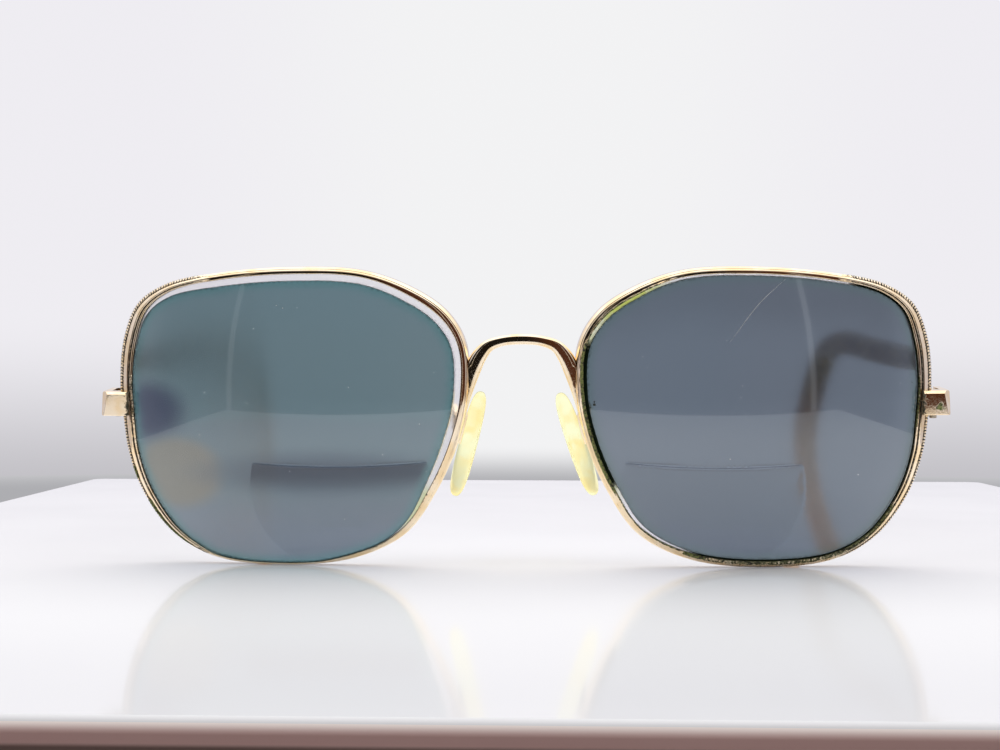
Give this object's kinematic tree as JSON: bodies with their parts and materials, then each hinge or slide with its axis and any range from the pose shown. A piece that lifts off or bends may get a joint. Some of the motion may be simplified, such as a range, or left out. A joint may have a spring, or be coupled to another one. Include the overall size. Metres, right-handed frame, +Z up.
{
  "type": "sunglasses",
  "caption": "Full-rim metal sunglasses with tinted bifocal lenses, a saddle bridge, rocking nose pads and folding hooked temples.",
  "frame": {"origin": "on the table under the middle of the pair, which stands open on its rims and the tips of its temples", "axes": "+X towards the wearer's left, +Y back along the temples, +Z up"},
  "size_m": [0.1442, 0.1198, 0.0501],
  "materials": {
    "gold": "worn gold plate",
    "screw": "dull",
    "left_glass": "blue-grey tint",
    "right_glass": "teal-grey tint",
    "pad": "yellowed, translucent",
    "sleeve": "dark tortoise, translucent"
  },
  "bodies": {
    "front": {"bridge": "gold", "left_rim": "gold", "left_lens": "left_glass", "left_reading_segment": "left_glass", "left_end_piece": "gold", "left_closing_block_upper": "gold", "left_closing_block_lower": "gold", "left_closing_screw": "screw", "left_front_hinge": "gold", "left_hinge_screw": "screw", "left_pad_arm": "gold", "left_pad_screw": "screw", "right_rim": "gold", "right_lens": "right_glass", "right_reading_segment": "right_glass", "right_end_piece": "gold", "right_closing_block_upper": "gold", "right_closing_block_lower": "gold", "right_closing_screw": "screw", "right_front_hinge": "gold", "right_hinge_screw": "screw", "right_pad_arm": "gold", "right_pad_screw": "screw"},
    "left_temple": {"left_temple_hinge": "gold", "left_temple_bar": "gold", "left_temple_sleeve": "sleeve"},
    "right_temple": {"right_temple_hinge": "gold", "right_temple_bar": "gold", "right_temple_sleeve": "sleeve"},
    "left_pad": {"left_pad_box": "gold", "left_nose_pad": "pad"},
    "right_pad": {"right_pad_box": "gold", "right_nose_pad": "pad"}
  },
  "joints": [
    {"name": "left_temple_fold", "type": "hinge", "parent": "front", "child": "left_temple", "pos_m": [0.0685, -0.04792, 0.02806], "axis": [0, 0, 1], "range_deg": [0, 87]},
    {"name": "right_temple_fold", "type": "hinge", "parent": "front", "child": "right_temple", "pos_m": [-0.0685, -0.04792, 0.02806], "axis": [0, 0, -1], "range_deg": [0, 80]},
    {"name": "left_pad_rock", "type": "hinge", "parent": "front", "child": "left_pad", "pos_m": [0.01151, -0.04802, 0.02357], "axis": [0.0847, 0.9836, 0.1591], "range_deg": [-8, 8]},
    {"name": "right_pad_rock", "type": "hinge", "parent": "front", "child": "right_pad", "pos_m": [-0.01151, -0.04802, 0.02357], "axis": [0.0847, -0.9836, -0.1591], "range_deg": [-8, 8]}
  ]
}
